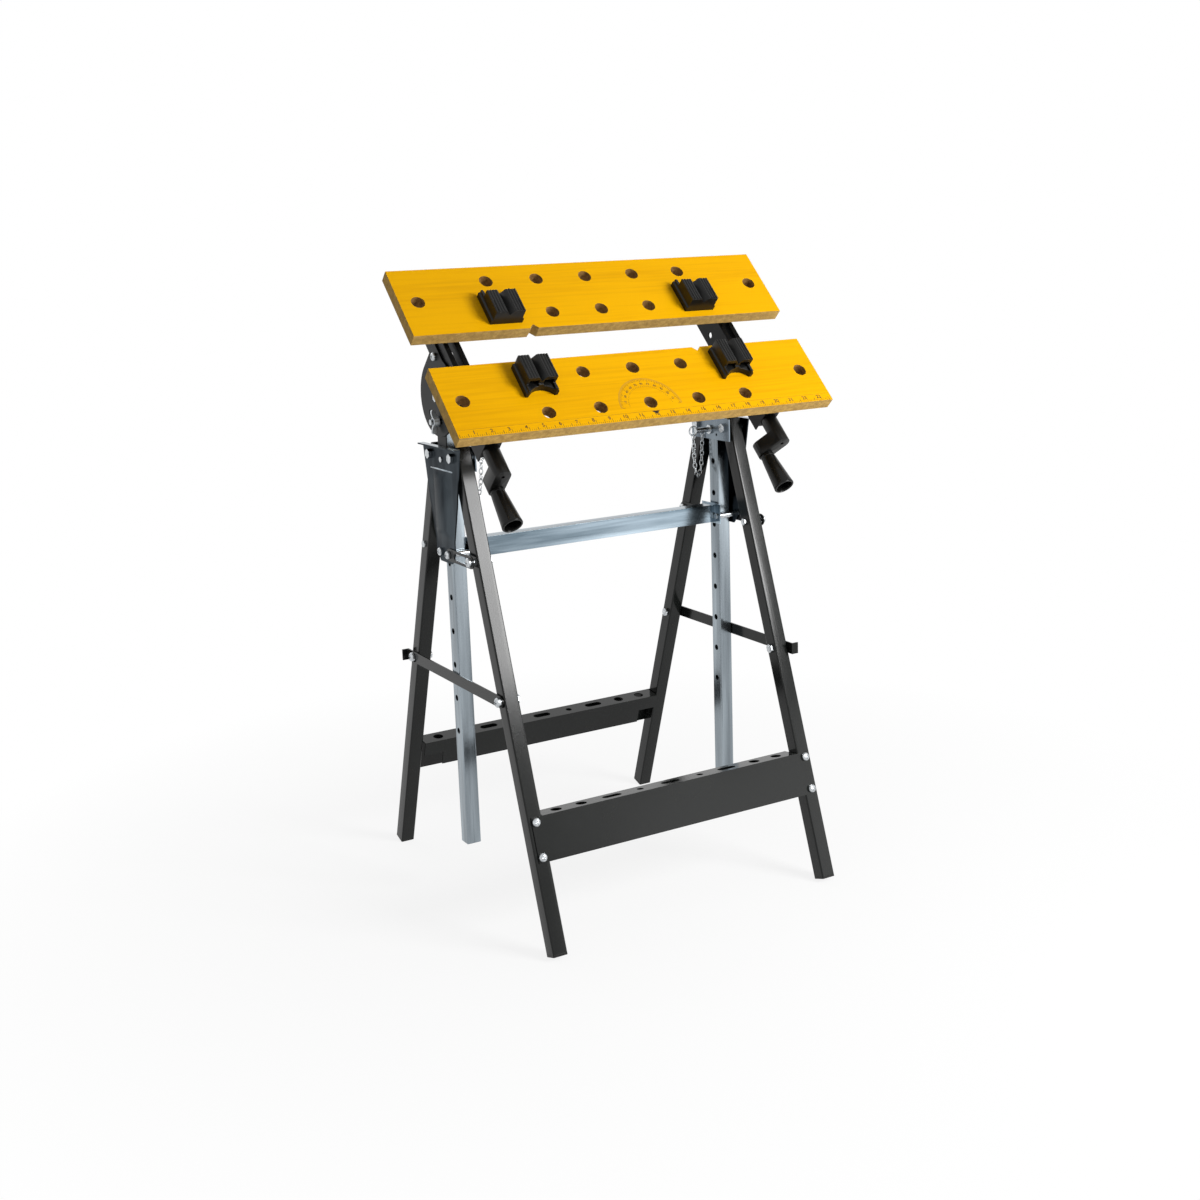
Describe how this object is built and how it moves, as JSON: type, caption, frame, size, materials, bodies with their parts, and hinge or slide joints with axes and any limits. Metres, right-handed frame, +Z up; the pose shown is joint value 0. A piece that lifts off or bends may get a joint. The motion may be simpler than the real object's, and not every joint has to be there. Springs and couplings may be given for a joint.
{
  "type": "folding workbench",
  "caption": "Folding workbench: leaning tube legs with hooked braces, height posts with lock pins, and a tilting table of drilled boards that close as a vise by cranked lead screws.",
  "frame": {"origin": "on the floor under the middle of the bench", "axes": "+X along the boards to the right, +Y to the rear, +Z up"},
  "size_m": [0.605, 0.5342, 0.9187],
  "materials": {
    "black_steel": "satin",
    "zinc_steel": "satin",
    "yellow_board": "satin",
    "black_plastic": "matte",
    "bright_steel": "polished"
  },
  "bodies": {
    "head": {"crossbar": "zinc_steel", "head_bolts": "bright_steel", "head_plate_left": "zinc_steel", "head_plate_right": "zinc_steel", "inner_plate_left": "zinc_steel", "inner_plate_right": "zinc_steel", "pin_chain_left": "bright_steel", "pin_chain_right": "bright_steel"},
    "front_legs": {"leg_front_left": "black_steel", "leg_front_right": "black_steel", "front_foot_caps": "black_plastic", "front_tool_rail": "black_steel", "front_leg_fasteners": "bright_steel"},
    "rear_legs": {"leg_rear_left": "black_steel", "leg_rear_right": "black_steel", "rear_foot_caps": "black_plastic", "rear_tool_rail": "black_steel", "rear_leg_fasteners": "bright_steel"},
    "lift": {"post_left": "zinc_steel", "post_right": "zinc_steel", "upright_left": "black_steel", "upright_right": "black_steel", "tilt_bolts": "bright_steel"},
    "table": {"board_support_left": "black_steel", "board_support_right": "black_steel", "jaw_channel_left": "black_steel", "jaw_channel_right": "black_steel", "quadrant_left": "black_steel", "quadrant_right": "black_steel", "front_board": "yellow_board", "table_fasteners": "bright_steel"},
    "jaw": {"board_carrier_left": "black_steel", "board_carrier_right": "black_steel", "travel_nut_left": "bright_steel", "travel_nut_right": "bright_steel", "rear_board": "yellow_board", "jaw_fasteners": "bright_steel"},
    "screw_left": {"lead_screw_left": "bright_steel", "crank_left": "black_plastic"},
    "grip_left": {"crank_grip_left": "black_plastic"},
    "brace_left": {"brace_left": "black_steel"},
    "wing_nut_left": {"wing_nut_left": "bright_steel"},
    "lock_pin_left": {"lock_pin_left": "bright_steel"},
    "link_front_left": {"link_front_left": "black_steel"},
    "dog_front_left": {"dog_front_left": "black_plastic"},
    "link_rear_left": {"link_rear_left": "black_steel"},
    "dog_rear_left": {"dog_rear_left": "black_plastic"},
    "screw_right": {"lead_screw_right": "bright_steel", "crank_right": "black_plastic"},
    "grip_right": {"crank_grip_right": "black_plastic"},
    "brace_right": {"brace_right": "black_steel"},
    "wing_nut_right": {"wing_nut_right": "bright_steel"},
    "lock_pin_right": {"lock_pin_right": "bright_steel"},
    "link_front_right": {"link_front_right": "black_steel"},
    "dog_front_right": {"dog_front_right": "black_plastic"},
    "link_rear_right": {"link_rear_right": "black_steel"},
    "dog_rear_right": {"dog_rear_right": "black_plastic"}
  },
  "joints": [
    {"name": "front_legs_fold", "type": "hinge", "parent": "head", "child": "front_legs", "pos_m": [0, -0.036, 0.661], "axis": [1, 0, 0], "range_deg": [0, 18.5]},
    {"name": "rear_legs_fold", "type": "hinge", "parent": "head", "child": "rear_legs", "pos_m": [0, 0.036, 0.661], "axis": [1, 0, 0], "range_deg": [-18.5, 0]},
    {"name": "brace_left_turn", "type": "hinge", "parent": "front_legs", "child": "brace_left", "pos_m": [-0.24155, -0.14506, 0.33601], "axis": [1, 0, 0], "range_deg": [0, 37]},
    {"name": "brace_right_turn", "type": "hinge", "parent": "rear_legs", "child": "brace_right", "pos_m": [0.24155, 0.14506, 0.33601], "axis": [1, 0, 0], "range_deg": [-37, 0]},
    {"name": "link_front_left_turn", "type": "hinge", "parent": "head", "child": "link_front_left", "pos_m": [-0.246, -0.0157, 0.52164], "axis": [1, 0, 0], "range_deg": [0, 17]},
    {"name": "link_rear_left_turn", "type": "hinge", "parent": "head", "child": "link_rear_left", "pos_m": [-0.2167, 0.0157, 0.52164], "axis": [1, 0, 0], "range_deg": [-17, 0]},
    {"name": "link_front_right_turn", "type": "hinge", "parent": "head", "child": "link_front_right", "pos_m": [0.246, -0.0157, 0.52164], "axis": [1, 0, 0], "range_deg": [0, 17]},
    {"name": "link_rear_right_turn", "type": "hinge", "parent": "head", "child": "link_rear_right", "pos_m": [0.2167, 0.0157, 0.52164], "axis": [1, 0, 0], "range_deg": [-17, 0]},
    {"name": "height_lift", "type": "slide", "parent": "head", "child": "lift", "axis": [0, 0, 1], "range_m": [0, 0.3]},
    {"name": "table_tilt", "type": "hinge", "parent": "lift", "child": "table", "pos_m": [0, 0, 0.744], "axis": [1, 0, 0], "range_deg": [-45, 15]},
    {"name": "jaw_travel", "type": "slide", "parent": "table", "child": "jaw", "axis": [0, 0.7071, 0.7071], "range_m": [-0.0565, 0.045]},
    {"name": "screw_left_turn", "type": "hinge", "parent": "table", "child": "screw_left", "pos_m": [-0.2295, -0.03253, 0.77653], "axis": [0, 0.7071, 0.7071], "range_deg": [-4051, 5086]},
    {"name": "screw_right_turn", "type": "hinge", "parent": "table", "child": "screw_right", "pos_m": [0.2295, -0.03253, 0.77653], "axis": [0, 0.7071, 0.7071], "range_deg": [-4051, 5086]},
    {"name": "grip_left_spin", "type": "hinge", "parent": "screw_left", "child": "grip_left", "pos_m": [-0.2295, -0.16228, 0.60647], "axis": [0, 0.7071, 0.7071], "continuous": true},
    {"name": "grip_right_spin", "type": "hinge", "parent": "screw_right", "child": "grip_right", "pos_m": [0.21398, -0.16553, 0.60972], "axis": [0, 0.7071, 0.7071], "continuous": true},
    {"name": "wing_nut_left_spin", "type": "hinge", "parent": "lift", "child": "wing_nut_left", "pos_m": [-0.25, 0, 0.7095], "axis": [1, 0, 0], "continuous": true},
    {"name": "lock_pin_left_pull", "type": "slide", "parent": "head", "child": "lock_pin_left", "axis": [1, 0, 0], "range_m": [0, 0.045], "deforming": ["pin_chain_left"]},
    {"name": "dog_front_left_spin", "type": "hinge", "parent": "table", "child": "dog_front_left", "pos_m": [-0.16, -0.12304, 0.7737], "axis": [0, -0.7071, 0.7071], "range_deg": [-90, 90]},
    {"name": "dog_rear_left_spin", "type": "hinge", "parent": "jaw", "child": "dog_rear_left", "pos_m": [-0.16, -0.04313, 0.8536], "axis": [0, -0.7071, 0.7071], "range_deg": [-90, 90]},
    {"name": "wing_nut_right_spin", "type": "hinge", "parent": "lift", "child": "wing_nut_right", "pos_m": [0.25, 0, 0.7095], "axis": [1, 0, 0], "continuous": true},
    {"name": "lock_pin_right_pull", "type": "slide", "parent": "head", "child": "lock_pin_right", "axis": [-1, 0, 0], "range_m": [0, 0.045], "deforming": ["pin_chain_right"]},
    {"name": "dog_front_right_spin", "type": "hinge", "parent": "table", "child": "dog_front_right", "pos_m": [0.16, -0.12304, 0.7737], "axis": [0, -0.7071, 0.7071], "range_deg": [-90, 90]},
    {"name": "dog_rear_right_spin", "type": "hinge", "parent": "jaw", "child": "dog_rear_right", "pos_m": [0.16, -0.04313, 0.8536], "axis": [0, -0.7071, 0.7071], "range_deg": [-90, 90]}
  ],
  "couplings": [
    {"joint": "rear_legs_fold", "follows": "front_legs_fold", "ratio": -1},
    {"joint": "brace_left_turn", "follows": "front_legs_fold", "ratio": 2},
    {"joint": "brace_right_turn", "follows": "front_legs_fold", "ratio": -2},
    {"joint": "link_front_left_turn", "follows": "front_legs_fold", "ratio": 0.916},
    {"joint": "link_rear_left_turn", "follows": "front_legs_fold", "ratio": -0.916},
    {"joint": "link_front_right_turn", "follows": "front_legs_fold", "ratio": 0.916},
    {"joint": "link_rear_right_turn", "follows": "front_legs_fold", "ratio": -0.916},
    {"joint": "screw_left_turn", "follows": "jaw_travel", "rad_per_m": -1570.8},
    {"joint": "screw_right_turn", "follows": "jaw_travel", "rad_per_m": -1570.8}
  ]
}
